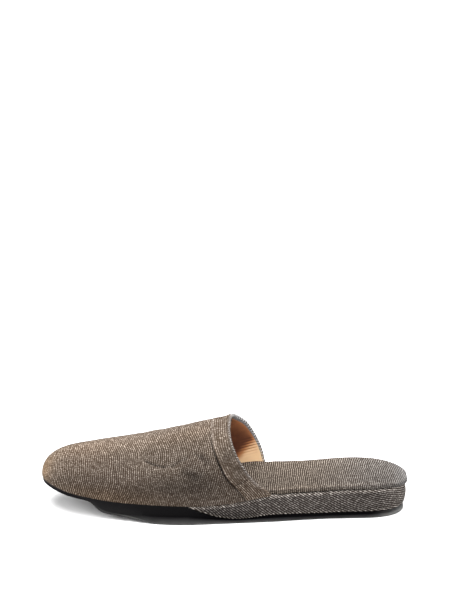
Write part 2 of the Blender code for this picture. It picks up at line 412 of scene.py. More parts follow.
def twill(name, look):
    material, tree, shader = newMaterial(name)
    weave = attribute(tree, "weave")
    u, v, plain = split(tree, weave)  # plain: 0 where wales are clear
    for scale, reach in (look["drift"], (look["waverScale"], look["waver"])):
        waver = calc(tree, "SUBTRACT", noise(tree, weave, scale), 0.5)
        u = calc(tree, "MULTIPLY_ADD", waver, reach, u)
    wale = calc(tree, "FLOOR", u)
    start = chanceOf(tree, join(tree, wale, 0.5))
    run = calc(tree, "MULTIPLY_ADD", start, look["stagger"], calc(tree, "DIVIDE", v, look["dash"]))
    chance = chanceOf(tree, join(tree, wale, calc(tree, "FLOOR", run)))
    ridge = calc(tree, "POWER", rounded(tree, u), look["sharp"])
    blurred = calc(tree, "SUBTRACT", look["plainRidge"], ridge)
    ridge = calc(tree, "MULTIPLY_ADD", plain, blurred, ridge)
    ends = calc(tree, "MULTIPLY_ADD", rounded(tree, run), look["notch"], 1 - look["notch"])
    yarn = calc(tree, "MULTIPLY", ridge, ends)
    pale = calc(tree, "POWER", chance, look["rarity"])
    pale = calc(tree, "MULTIPLY_ADD", pale, 1 - look["least"], look["least"])
    shown = calc(tree, "MULTIPLY", yarn, pale)
    for amount, scale, detail in ((look["grain"], look["grainScale"], 0.0),
                                  (look["patchy"], look["patchScale"], 1.0)):
        uneven = ramp(tree, noise(tree, weave, scale, detail), 0.3, 0.7)
        uneven = calc(tree, "MULTIPLY_ADD", uneven, amount, 1 - amount / 2)
        shown = calc(tree, "MULTIPLY", shown, uneven)
    colour = blend(tree, shown, look["dark"], look["light"])
    # the shade read here is painted light and shade, mixed with real paler and darker patches
    warm, shade, worn = split(tree, attribute(tree, "toneAndLight"))
    colour = blend(tree, warm, colour, blend(tree, 1.0, colour, look["warm"], "MULTIPLY"))
    blotch = noise(tree, place(tree), look["blotchScale"], 3.0)
    light = calc(tree, "MULTIPLY_ADD", blotch, look["blotch"], 1 - look["blotch"] / 2)
    light = calc(tree, "ADD", light, shade)
    colour = blend(tree, 1.0, colour, join(tree, light, light, light), "MULTIPLY")
    colour = blend(tree, worn, colour, look["worn"])
    feed(tree, shader["Base Color"], colour)
    shader["Roughness"].default_value = look["roughness"]
    shader["Specular IOR Level"].default_value = look["specular"]
    feed(tree, shader["Normal"], bump(tree, yarn, look["bump"], look["bumpStrength"]))
    return material


# upper: cloth skin over the last

vamp = {
    "rows": 230,
    "columns": 170,
    "rowSpread": 1.1,
    "thickness": 0.9,
    "waleTurn": 48.0,  # degrees around where the wales keep their pitch
    "waleStart": 100.0,
    "waleSteps": 400,
    "ridgeLean": 0.36,  # wales run forward towards the ridge
    "ridgeReach": (0.18, 0.05),  # in shares of the girth: reach, softness
    "lowLean": 0.32,  # and towards the lower edge at the front
    "lowReach": 0.13,
    "lowStart": (170.0, 220.0),
    "rearLean": 0.26,  # and over more of the side at the back
    "rearReach": 0.3,
    "rearStart": (215.0, 165.0),
    "topFloat": 0.65,  # floats are longer on top
    "sideFloat": 1.3,  # and shorter at the sides
    "topReach": 40.0,
    "sideShade": -0.36,  # painted shade: sides are darker than the top, as under a light from above
    "outerSide": (90.0, 48.0),  # degrees from the start of that shade to all of it
    "innerSide": (97.0, 115.0),
    "tipSide": (0.6, 270.0),  # share of it at the tip of the toe, and where that starts
    "lowShade": (-0.14, 15.0, 11.0),  # painted shade near the lower edge, by degrees
    "lowEdge": 0.02,  # but the edge itself is a little paler in front, a painted highlight where it catches light
    "lowEdgeTurn": (9.0, 2.0),
    "lowEdgeStart": (190.0, 255.0),
    "underBand": 0.35,  # the cloth dips under the band
    "dip": (0.0, -2.0),  # from the band's front edge
    "seamGroove": 0.55,
    "groove": (0.4, 1.6),  # in front of the band: place, reach
    "grooveTurn": (72.0, 52.0),  # it fades towards the top
    "seamShadow": (0.05, 0.65, 31.0, 27.0),  # painted shadow along the band's front seam: least, more, degrees, reach
    "darkLine": (0.1, 0.8),
    "swell": 0.7,  # on top the upper rises to meet the band
    "swellReach": 28.0,
    "swellTurn": (40.0, 75.0),
    "creaseEnd": 12.0,  # creases fade near the tip of the toe
    "creaseSeam": 0.12,  # and near the lower edge
    # width, depth, path as along and around
    "creases": [
        (1.2, -0.5, [(203, 51), (194.5, 43.5), (186.5, 39), (179, 39), (173.5, 43), (169, 44)]),
        (4.0, -0.5, [(198, 47.5), (187, 39), (178, 39)]),
        (4.5, 0.5, [(199, 64), (191, 55), (183, 49), (173, 48)]),
        (4.5, 0.4, [(190, 34), (181, 30), (172, 30)]),
        (2.8, -0.8, [(163, 48), (158, 43.5), (153.5, 37)]),
        (3.5, -0.6, [(171, 31), (165, 28)]),
        (4.0, 0.4, [(165, 40), (160, 34)]),
        (5.0, -0.5, [(204, 12), (196, 9)]),
        (4.0, -0.35, [(205, 80), (202, 100), (204, 120)]),
        (4.5, -0.35, [(190, 84), (187, 104), (190, 128)]),
        (3.0, -0.6, [(176, 128), (170, 140), (166, 150)]),
        (3.5, -0.5, [(205, 132), (197, 145), (192, 155)]),
    ],
    # painted shade along the creases: width, amount, path as along and around
    "creaseShade": [
        (0.8, -0.4, [(200, 48.5), (194.5, 43.5), (190.5, 41), (186.5, 39)]),
        (0.8, -0.24, [(186.5, 39), (179, 39), (173.5, 43), (169, 44)]),
        (1.4, -0.18, [(163, 48), (158, 43.5)]),
        (2.6, -0.22, [(158, 43.5), (153.5, 37)]),
        (3.0, -0.14, [(162, 25), (158, 27)]),
        (3.0, -0.18, [(171, 31), (165, 28)]),
    ],
    # soft patches: along, around, length, width, amount
    "warm": [
        (165, 74, 34, 12, 0.25),
        (245, 78, 34, 28, 0.25),
        (228, 5, 36, 9, 0.5),
    ],
    # paler and darker patches: partly real marks, partly painted light and shade, such as the paler toe and
    # the darker top
    "shade": [
        (168, 84, 40, 22, -0.14),
        (176, 62, 14, 9, -0.05),
        (152, 48, 7, 7, 0.10),
        (160, 22, 16, 9, -0.14),
        (182, 16, 16, 8, -0.14),
        (208, 9, 12, 7, -0.12),
        (202, 38, 14, 7, 0.06),
        (232, 40, 32, 34, -0.05),
        (272, 34, 14, 24, 0.2),
        (277, 22, 6, 9, 0.2),
    ],
    "plain": [
        (180, 10, 60, 22, 0.25),
        (180, 88, 60, 18, 0.2),
        (248, 80, 22, 20, 0.25),
    ],
    "tip": (280.0, 40.0, 10.0),  # worn end of the toe: along, around, reach
    "tipTone": (0.9, 0.06, 0.25),  # warm, shade, worn
}


def waleAlong(along):
    # distance over the outer side, so that the wales keep their pitch around the toe
    places = np.linspace(vamp["waleStart"], last["length"], vamp["waleSteps"])
    turn = np.full(len(places), math.radians(vamp["waleTurn"]))
    return np.interp(along, places, distances(vampPoint(places, turn), 0))


def creaseLift(along, around):
    lift = sum(trough(along, around, crease) for crease in vamp["creases"])
    beforeTip = softStep(last["length"], last["length"] - vamp["creaseEnd"], along)
    return lift * beforeTip * softStep(0.0, vamp["creaseSeam"], np.sin(around))


def foldedTurn(around):
    # degrees from the nearer seam
    return 90.0 - np.abs(90.0 - np.degrees(around))


def swellUp(along, around):
    ahead = along - openingEdge(around) - bandWidth(around)
    near = softStep(vamp["swellReach"], 0.0, ahead)
    return vamp["swell"] * near * softStep(*vamp["swellTurn"], foldedTurn(around))


# painted shadow along a seam: least, and more near some degrees
def seamShadow(look, degrees):
    least, more, middle, reach = look
    return least + more * hump(degrees, middle, reach)


def vampWeave(points, along, degrees):
    # distances across the wales and along them
    v = distances(points, 0)
    girth = v[-1]
    reach, soft = [share * girth for share in vamp["ridgeReach"]]
    inReach = reach - np.hypot(v - girth / 2, soft)
    climb = (inReach + np.hypot(inReach, soft)) / 2
    fromSeam = np.minimum(v, girth - v)
    drop = np.clip(vamp["lowReach"] * girth - fromSeam, 0.0, None)
    rear = np.clip(vamp["rearReach"] * girth - fromSeam, 0.0, None)
    u = waleAlong(along) - vamp["ridgeLean"] * climb
    u = u - vamp["lowLean"] * drop * softStep(*vamp["lowStart"], along)
    u = u - vamp["rearLean"] * rear * softStep(*vamp["rearStart"], along)
    pace = mixed(vamp["sideFloat"], vamp["topFloat"], hump(degrees, 90.0, vamp["topReach"]))
    return u, np.cumsum(np.diff(v, axis=0, prepend=0.0) * pace, axis=0)


def vampTone(points, along, around, ahead):
    degrees, turn = np.degrees(around), foldedTurn(around)
    share, start = vamp["tipSide"]
    # painted shade: darker sides and a darker band near the lower edge, as under a light from above
    aside = np.maximum(softStep(*vamp["outerSide"], degrees), softStep(*vamp["innerSide"], degrees))
    aside = mixed(aside, share, softStep(start, last["length"], along))
    shade = vamp["sideShade"] * aside + humpOf(vamp["lowShade"], turn)
    # painted highlight on the lower edge in front
    atEdge = softStep(*vamp["lowEdgeTurn"], turn) * softStep(*vamp["lowEdgeStart"], along)
    shade = shade + vamp["lowEdge"] * atEdge + spots(vamp["shade"], along, around)
    # painted shadow in front of the band's edge
    shade = shade - hump(ahead, *vamp["darkLine"]) * seamShadow(vamp["seamShadow"], degrees)
    # painted shade in the creases
    shade = shade + sum(trough(along, around, line) for line in vamp["creaseShade"])
    tipAlong, tipTurn, tipReach = vamp["tip"]
    tip = vampPoint(np.array(tipAlong), np.array(math.radians(tipTurn)))
    atTip = hump(np.linalg.norm(points - tip, axis=-1), 0.0, tipReach)
    warm, tipShade, worn = vamp["tipTone"]
    warm = spots(vamp["warm"], along, around) + warm * atTip
    return warm, shade + tipShade * atTip, worn * atTip


def makeVamp():
    piece, row, column = newLattice("vamp_cloth", vamp["rows"], vamp["columns"])
    around = column * math.pi
    edge = openingEdge(around)
    along = edge + (last["length"] - edge) * np.sin(row * math.pi / 2) ** vamp["rowSpread"]
    points = vampPoint(along, around)
    ahead = along - edge - bandWidth(around)
    groove = vamp["seamGroove"] * hump(ahead, *vamp["groove"])
    groove = groove * softStep(*vamp["grooveTurn"], foldedTurn(around))
    under = vamp["underBand"] * softStep(*vamp["dip"], ahead)
    lift = creaseLift(along, around) + swellUp(along, around) - groove - under
    setShape(piece, points + lift[..., None] * vampNormal(along, around))
    u, v = vampWeave(points, along, np.degrees(around))
    plain = spots(vamp["plain"], along, around)
    paint(piece, "weave", u / cloth["pitch"], v / cloth["pitch"], plain)
    paint(piece, "toneAndLight", *vampTone(points, along, around, ahead))
    sewUp()
    thicken(piece, vamp["thickness"])
    handOver(piece, "upper_cloth", twill("vampTwill", cloth), "upper")


makeVamp()


# band along the opening, folded over its edge

band = {
    "columns": 420,
    "columnShare": [0.0, 0.09, 0.21, 0.55, 1.0],  # columns are close together at the cross seam
    "columnTurn": [0.0, 9.5, 16.0, 92.0, 180.0],
    "thickness": 0.5,
    # share of the width from the edge, and height over the upper
    "front": [(1.0, -0.4), (1.0, 0.3), (0.994, 0.65), (0.98, 0.9), (0.955, 1.0), (0.92, 0.95), (0.88, 0.9)],
    "flatRows": 14,
    "foldRows": 12,
    "foldOut": 1.2,
    "foldIn": -2.1,
    "turnRows": 3,
    "turnAround": [0, 80, 105, 140, 160, 180],
    "turn": [0.8, 0.8, 2.2, 1.0, 0.2, 0.0],  # how far it reaches inside
    "farEdge": (1.2, 122.0, 20.0),  # fuller edge on the far side, by degrees
    "crossSeam": (15.0, 12.0),  # degrees, at the edge and at the front
    "tabRise": 0.15,  # the end under the cross seam lies on top
    "tabStep": (0.5, -0.3),  # in degrees from the seam
    "crossGroove": (0.3, 0.5, 0.55),  # depth, degrees from the seam, reach
    "crossStart": 0.15,  # share of the width where tab and groove start
    "flush": 0.4,  # share of the height left on top and at the end
    "flushTop": (42.0, 66.0),
    "flushEnd": (14.0, 8.0),
    "flushStart": 0.4,
    # its worn colour is a pale grey that also paints light on the folded edge
    "look": dict(cloth, dash=1.7, notch=0.5, least=0.35, waver=0.3, light=(0.25, 0.209, 0.176),
                 warm=(0.9, 0.98, 1.1), worn=(0.5, 0.505, 0.52)),
    # painted shade on top, and real darker patches lower down
    "shade": [
        (138, 38, 10, 9, -0.5),
        (129, 22, 8, 7, -0.46),
        (122, 6, 14, 7, -0.12),
        (143, 74, 14, 16, -0.15),
    ],
    "plain": [
        (143, 74, 14, 16, 0.25),
        (146, 52, 7, 12, 0.2),
        (137, 36, 9, 8, 0.6),
        (130, 23, 9, 6, 0.6),
    ],
    "seamShadow": (0.05, 0.4, 31.0, 22.0),  # painted shadow along the front seam: least, more, degrees, reach
    "seamWidth": 0.03,
    "crossShade": (0.3, 0.2),  # painted shade in the cross seam's groove: amount, share of the width where it is full
    # twisted look of the folded edge, near side and far side, with painted light: the twist is paler where
    # the edge turns, most of all on the far side
    "ropePitch": 2.1,
    "ropePale": (1.1, 1.8),
    "ropeDark": (-0.3, -0.5),
    "ropeRubbedAndLit": (0.1, 0.75),
    "ropeFar": (84.0, 100.0),  # degrees where the far side starts
    "ropeEnd": (1.0, 14.0),
    "ropeSlant": 0.9,  # wales slant on the folded edge
    # turned-in front edge on top: shares of the width, degrees
    "frontFold": (0.78, 0.86),
    "frontStart": (48.0, 62.0),
    "frontEnd": (100.0, 92.0),
    "plainFront": 0.5,
    "coolFront": 0.3,
    # the turned-in front edge is paler: partly its own colour, partly a painted highlight on its raised
    # edge
    "paleFront": 0.15,
}


def turnIn(around):
    return np.interp(np.degrees(around), band["turnAround"], band["turn"])


def bandEdge(around):
    return openingEdge(around) - humpOf(band["farEdge"], np.degrees(around))


def bandRows():
    # shares of the width and heights of the rows that lie on the upper
    front = np.array(band["front"])
    share = np.linspace(front[-1, 0], 0.0, band["flatRows"] + 1)[1:]
    rise = np.linspace(front[-1, 1], band["foldOut"], band["flatRows"] + 1)[1:]
    return np.concatenate([front[:, 0], share]), np.concatenate([front[:, 1], rise])


def foldOver(around, edge, radius, step):
    # half a turn round the edge, then straight in
    nudge = 0.004
    ahead, behind = np.clip(around + nudge, 0, math.pi), np.clip(around - nudge, 0, math.pi)
    tangent = vampPoint(bandEdge(ahead) + radius, ahead) - vampPoint(bandEdge(behind) + radius, behind)
    normal = vampNormal(edge, around)
    back = unit(np.cross(normal, unit(tangent)))
    back = np.where(back[..., :1] > 0, -back, back)  # away from the toe
    sweep = np.clip(step / band["foldRows"], 0.0, 1.0) * math.pi
    inside = np.clip((step - band["foldRows"]) / band["turnRows"], 0.0, 1.0) * turnIn(around)
    middle = (band["foldOut"] + band["foldIn"]) / 2
    out = middle + swellUp(edge, around) + radius * np.cos(sweep)
    away = radius * np.sin(sweep) - inside
    return vampPoint(edge, around) + normal * out[..., None] + back * away[..., None]


def makeBand():
    flatShare, flatRise = bandRows()
    flat = len(flatShare) - 1
    rows = flat + band["foldRows"] + band["turnRows"]
    piece, row, column = newLattice("topline_band_cloth", rows, band["columns"])
    step = np.rint(row * rows).astype(int)
    onFlat = step <= flat
    share = flatShare[np.minimum(step, flat)]
    rise = flatRise[np.minimum(step, flat)]
    around = np.radians(np.interp(column, band["columnShare"], band["columnTurn"]))
    degrees, turned = np.degrees(around), foldedTurn(around)
    radius = (band["foldOut"] - band["foldIn"]) / 2
    edge = bandEdge(around) + radius
    onTop = edge + (openingEdge(around) + bandWidth(around) - edge) * share

    fromCross = degrees - mixed(*band["crossSeam"], share)
    depth, middle, reach = band["crossGroove"]
    groove = hump(fromCross, middle, reach)
    tab = band["tabRise"] * softStep(*band["tabStep"], fromCross) - depth * groove
    rise = rise + tab * np.clip(rise, 0.0, 1.0) * softStep(0.0, band["crossStart"], share)
    low = np.maximum(softStep(*band["flushTop"], turned), softStep(*band["flushEnd"], turned))
    low = low * softStep(0.0, band["flushStart"], share)
    rise = rise * np.where(rise > 0, mixed(1.0, band["flush"], low), 1.0)
    rise = rise + swellUp(onTop, around)
    lifted = vampPoint(onTop, around) + vampNormal(onTop, around) * rise[..., None]
    shape = np.where(onFlat[..., None], lifted, foldOver(around, edge, radius, step - flat))
    setShape(piece, shape)

    v = distances(shape, 0)
    u = distances(shape, 1) + band["ropeSlant"] * v * softStep(flat - 1, flat + 1, step)
    frontFold = softStep(*band["frontFold"], share) * softStep(*band["frontStart"], degrees)
    frontFold = frontFold * softStep(*band["frontEnd"], degrees)
    plain = spots(band["plain"], onTop, around) + band["plainFront"] * frontFold
    paint(piece, "weave", u / cloth["pitch"], v / cloth["pitch"], plain * onFlat)

    # painted shadow along the front seam, and painted shade in the cross seam's groove
    amount, start = band["crossShade"]
    dark = hump(share, 1.0, band["seamWidth"]) * seamShadow(band["seamShadow"], degrees) * onFlat
    dark = dark + amount * groove * softStep(0.0, start, share)
    # painted light on the folded edge, with its twisted stripes
    onFold = softStep(flat - 1, flat + 3, step) * softStep(*band["ropeEnd"], degrees)
    twist = 0.5 + 0.5 * np.cos(2 * math.pi * u / band["ropePitch"])
    far = softStep(*band["ropeFar"], degrees)
    rope = mixed(mixed(*band["ropeDark"], far), mixed(*band["ropePale"], far), twist)
    # share of the pale grey: partly rubbed, partly painted light, most on the far side
    paled = mixed(*band["ropeRubbedAndLit"], far) * twist ** 2
    shade = spots(band["shade"], onTop, around) + rope * onFold + band["paleFront"] * frontFold - dark
    cool = onFold + band["coolFront"] * frontFold * onFlat
    paint(piece, "toneAndLight", cool, shade, paled * onFold)
    sewUp()
    thicken(piece, band["thickness"])
    handOver(piece, "band_cloth", twill("bandTwill", band["look"]), "topline_band")


makeBand()


# leather lining

lining = {
    "rows": 120,
    "columns": 220,
    "columnShare": [0.0, 0.25, 1.0],  # columns are close together at the wrinkles
    "columnTurn": [0.0, 110.0, 180.0],
    "rowSpread": 1.2,
    "tipGap": 3.0,
    "depth": 1.05,  # under the outside of the upper
    "thickness": 0.8,
    "start": 0.85,  # from the edge of the opening, without the band's turn
    "colour": (0.95, 0.64, 0.37),
    "amber": (0.52, 0.205, 0.08),  # where light comes through and round
    # painted shade deep inside the upper, where light does not reach
    "shadeColour": (0.105, 0.032, 0.0145),
    "cloud": (110.0, 0.3),  # scale, amount
    "grainScale": 1600.0,
    "roughness": 0.42,
    "bumpStrength": 0.5,
    # painted light: pale where light reaches: share at a place, and for each mm back and down
    "pale": {"share": 0.25, "along": 126.0, "height": 36.0, "back": 0.08, "down": 0.059},
    "paleFrom": (0.1, 1.02),
    "shadow": {"amount": 0.25, "along": 120.0, "long": 2.5, "height": 42.3, "tall": 2.0},
    "roofLight": (0.12, 40.0, 54.0),  # by height
    "edgeLight": (0.2, 36.0, 46.0),
    # by the distance from the edge
    "rimRoll": (0.2, 1.2, 1.4),
    # painted highlight on the rolled rim
    "rimHighlight": (0.06, 1.0, 1.2),
    "rimReach": (1.0, 3.0),
    "wrinkles": {"pitch": 2.4, "height": 36.3, "tall": 5.0, "along": 120.0, "long": 5.5, "depth": 0.25,
                 "slope": 0.35, "turn": (120.0, 140.0), "dark": 0.9, "pale": 0.3},
}


def liningLeather():
    material, tree, shader = newMaterial("liningLeather")
    # the leather blends from painted shade through amber to its own tan, by the painted light it carries
    paintedLight, rim, _ = split(tree, attribute(tree, "toneAndLight"))
    scale, amount = lining["cloud"]
    cloud = calc(tree, "SUBTRACT", noise(tree, place(tree), scale, 3.0), 0.5)
    pale = calc(tree, "ADD", calc(tree, "MULTIPLY_ADD", cloud, amount, paintedLight), rim)
    first = calc(tree, "MULTIPLY", pale, 2.0)
    colour = blend(tree, first, lining["shadeColour"], lining["amber"])
    colour = blend(tree, calc(tree, "SUBTRACT", first, 1.0), colour, lining["colour"])
    feed(tree, shader["Base Color"], colour)
    fineGrain(tree, shader, lining)
    return material


def liningLight(along, height, fromEdge):
    # painted light: share of pale leather, and how much of it light reaches directly
    pale, shadow = lining["pale"], lining["shadow"]
    reached = pale["share"] + pale["back"] * (pale["along"] - along)
    reached = reached + pale["down"] * (pale["height"] - height)
    dim = hump(along, shadow["along"], shadow["long"]) * hump(height, shadow["height"], shadow["tall"])
    light = softStep(*lining["paleFrom"], reached) - shadow["amount"] * dim
    atRim = hump(fromEdge, *lining["rimReach"])
    roof = stepOf(lining["roofLight"], height) + stepOf(lining["edgeLight"], height) * atRim
    return light + (1 - light) * roof, light


def makeLining():
    piece, row, column = newLattice("lining_leather", lining["rows"], lining["columns"])
    around = np.radians(np.interp(column, lining["columnShare"], lining["columnTurn"]))
    edge = bandEdge(around) + lining["start"] + turnIn(around)
    tip = last["length"] - lining["tipGap"]
    along = edge + (tip - edge) * np.sin(row * math.pi / 2) ** lining["rowSpread"]
    fromEdge = along - edge
    points = vampPoint(along, around)
    wrinkles = lining["wrinkles"]
    level = points[..., 2] + wrinkles["slope"] * (along - wrinkles["along"]) - wrinkles["height"]
    crumpled = hump(level, 0.0, wrinkles["tall"]) * hump(along, wrinkles["along"], wrinkles["long"])
    crumpled = crumpled * softStep(*wrinkles["turn"], np.degrees(around))
    wave = (0.5 + 0.5 * np.cos(2 * math.pi * level / wrinkles["pitch"])) ** 2 * crumpled
    depth = lining["depth"] - wrinkles["depth"] * wave + humpOf(lining["rimRoll"], fromEdge)
    depth = depth - creaseLift(along, around) - swellUp(along, around)
    setShape(piece, points - depth[..., None] * vampNormal(along, around))
    paintedLight, light = liningLight(along, points[..., 2], fromEdge)
    # painted shade along the wrinkles, and a painted highlight between them where light is dim
    paintedLight = np.clip(paintedLight, 0.0, 1.0) - wrinkles["dark"] * wave
    paintedLight = paintedLight + wrinkles["pale"] * (crumpled - wave) * (1 - light)
    paint(piece, "toneAndLight", paintedLight, humpOf(lining["rimHighlight"], fromEdge), 0 * along)
    sewUp()
    thicken(piece, lining["thickness"])
    handOver(piece, "lining_leather", liningLeather())


makeLining()


# sole pieces are lofts through closed sections

def makeLoft(name, stations, first, final, section):
    corners = len(section(np.array([first]))[0])
    piece, row, column = newLattice(name, stations, corners)
    along = first + (final - first) * (1 - np.cos(math.pi * row)) / 2
    across, height = [np.array(side) for side in section(along[0])]
    index = np.rint(column * corners).astype(int) % corners
    station = np.rint(row * stations).astype(int)
    points = np.stack([along, across[index, station], height[index, station]], axis=-1)
    return piece, points, index


def ring(low, high, half, innerHalf=None):
    # closed section from insets and heights of each half, from the underside to the top
    inner = [(high - inset, height) for inset, height in innerHalf or half]
    outer = [(low + inset, height) for inset, height in reversed(half)]
    corners = inner + outer
    return [c[0] for c in corners], [c[1] + 0 * low for c in corners]


footbed = {
    "stations": 160,
    "rim": 4.0,
    "gap": 0.3,
    "endGap": 0.1,
    # narrower inside the upper, from a little behind the wings on
    "clear": 2.8,
    "stepStart": 6.0,
    "stepEnd": 1.5,
    "toeClear": 4.3,
    "mostInset": 0.8,  # share of half the width
    "endLength": 9.0,  # thinner heel end
    "endShare": 0.7,
    "archRise": 3.6,
    "archReach": 13.0,
    "arch": (92.0, 130.0, 172.0),
    # fuller inner side, in shares of the height
    "innerRise": [(0.3, 38.0, 28.0), (0.28, 117.0, 9.0)],
    "inset": [2.0, 0.9, 0.25, 0.0, 0.05, 0.3, 0.8, 1.6, 2.8, 4.4,
              6.4, 8.8, 11.4, 14.2, 17.2, 20.4, 23.8, 27.4, 31.0],
    "rise": [0.0, 0.05, 0.3, 0.8, 1.4, 2.1, 2.8, 3.35, 3.75, 4.0,
             4.18, 4.31, 4.42, 4.5, 4.56, 4.6, 4.63, 4.65, 4.65],
    "topFrom": (2.8, 3.6),  # heights where the side ends and the top starts
    # painted shade: the pad's side darker than its top
    "sideShade": -0.3,
    "farShade": (0.22, 28.0),  # the inner half of the top is paler: amount, reach
    "edgeRow": (0.35, 3.6, 0.35),  # pale row of floats along the top of the side
    "seamRow": (0.35, 1.1, 0.4),  # and another one over the seam
    "seamLine": -0.5,  # painted shade in that seam: a dark line, except at the heel
    "lineHeight": (0.6, 0.25),
    "lineStart": (25.0, 60.0),
    "warmStart": (5.0, 90.0),
    "paled": (8.0, 0.15, 0.28),  # rubbed heel end: reach, shade, worn
    "held": 1.0,  # the cover is sewn down below this height
    "heldAhead": 8.0,  # and from here on, ahead of the outer wing's end
    "frames": 20,
    "pressure": 4.0,
    "mostMove": 0.5,
    "leanAlong": [0, 45, 100],
    "lean": [0.28, 0.17, 0.07],  # wales lean more at the heel
    "look": dict(cloth, dark=(0.0108, 0.0081, 0.006), light=(0.212, 0.197, 0.184),
                 warm=(1.08, 0.97, 0.85), worn=(0.13, 0.132, 0.136), waver=0.3),
}


def puff(piece):
    # the cover is blown up like a cushion; sewn edge and the part inside the upper are held
    before = placesOf(piece)
    along = last["length"] / 2 - before[:, 0] / mm
    rise = before[:, 2] / mm - seat(along) - footbed["gap"]
    held = (rise < footbed["held"]) | (along > opening["along"][0] + footbed["heldAhead"])
    group = piece.vertex_groups.new(name="sewnDown")
    group.add([int(k) for k in np.nonzero(held)[0]], 1.0, "REPLACE")
    cushion = piece.modifiers.new("cushion", "CLOTH")
    cushion.settings.vertex_group_mass = group.name
    cushion.settings.use_pressure = True
    cushion.settings.uniform_pressure_force = footbed["pressure"]
    cushion.settings.effector_weights.gravity = 0.0
    cushion.point_cache.frame_start = 1
    cushion.point_cache.frame_end = footbed["frames"]
    for step in range(1, footbed["frames"] + 1):
        bpy.context.scene.frame_set(step)
    bpy.ops.object.modifier_apply(modifier=cushion.name)
    move = placesOf(piece) - before
    far = np.linalg.norm(move, axis=1, keepdims=True)
    print("cushion moved up to", round(float(far.max()) / mm, 2), "mm")
    move = move * np.minimum(1.0, footbed["mostMove"] * mm / np.maximum(far, 1e-9))
    setPlaces(piece, before + move)
    piece.vertex_groups.clear()
    bpy.context.scene.frame_set(1)


def footbedSection(along):
    start, end = footbed["stepStart"], footbed["stepEnd"]
    outerWing, innerWing = opening["along"][0], opening["along"][-1]
    low, high = outline(along, toe=footbed["toeClear"])
    low = low + footbed["clear"] * softStep(outerWing - start, outerWing - end, along)
    high = high - footbed["clear"] * softStep(innerWing - start, innerWing - end, along)
    most = footbed["mostInset"] * (high - low) / 2
    heelEnd = 1 - np.minimum(along / footbed["endLength"], 1.0)
    plump = mixed(footbed["endShare"], 1.0, np.sqrt(1 - heelEnd ** 2))
    middle = seat(along) + footbed["gap"] + footbed["rim"] / 2
    back, top, front = footbed["arch"]
    arch = softStep(back, top, along) * softStep(front, top, along)
    arch = arch * footbed["archRise"] / footbed["rim"]
    arch = arch + sum(humpOf(rise, along) for rise in footbed["innerRise"])

    def half(extra):
        corners = []
        for inset, rise in zip(footbed["inset"], footbed["rise"]):
            grown = rise * (1 + extra * max(1 - inset / footbed["archReach"], 0.0))
            corners.append((np.minimum(inset, most), middle + (grown - footbed["rim"] / 2) * plump))
        return corners

    return ring(low, high, half(0.0), half(arch))


def footbedWeave(along, across, height, rise):
    # wales run across the foot, and down the side square to its edge
    low, high = outline(along)
    reach = np.where(across < 0, *last["heelRound"])
    wide = np.where(across < 0, -low, high) / heelShare(along, reach)
    rear = np.clip(1 - along / reach, 0.0, 1.0) ** (last["heelPower"] - 1) / reach
    aside = np.clip(np.abs(across) / wide, 0.05, 1.0) ** (last["heelPower"] - 1) / wide
    drop = np.clip(footbed["rim"] - rise, 0.0, None) * rear / np.hypot(rear, aside)
    lean = np.interp(along, footbed["leanAlong"], footbed["lean"])
    return along + lean * across - drop, across + height


def footbedShade(along, across, rise):
    # painted shade on the pad's side and in the seam at its foot, with pale rows of floats
    onTop = softStep(*footbed["topFrom"], rise)
    amount, reach = footbed["farShade"]
    shade = mixed(footbed["sideShade"], amount * np.clip(across / reach, -1.0, 1.0), onTop)
    shade = shade + humpOf(footbed["edgeRow"], rise) + humpOf(footbed["seamRow"], rise)
    line = softStep(*footbed["lineHeight"], rise) * softStep(*footbed["lineStart"], along)
    return shade + footbed["seamLine"] * line


def makeFootbed():
    gap = footbed["endGap"]
    end = last["length"] - footbed["toeClear"] - gap
    piece, points, _ = makeLoft("footbed_pad", footbed["stations"], gap, end, footbedSection)
    setShape(piece, points)
    along, across, height = points[..., 0], points[..., 1], points[..., 2]
    rise = height - seat(along) - footbed["gap"]
    u, v = footbedWeave(along, across, height, rise)
    paint(piece, "weave", u / cloth["pitch"], v / cloth["pitch"], 0 * u)
    reach, pale, worn = footbed["paled"]
    paled = hump(along, 0.0, reach)
    shade = footbedShade(along, across, rise) + pale * paled
    paint(piece, "toneAndLight", softStep(*footbed["warmStart"], along), shade, worn * paled)
    sewUp(fill=True)
    puff(piece)
    handOver(piece, "footbed_cloth", twill("footbedTwill", footbed["look"]), "footbed")


makeFootbed()


# cloth-covered wedge under the heel

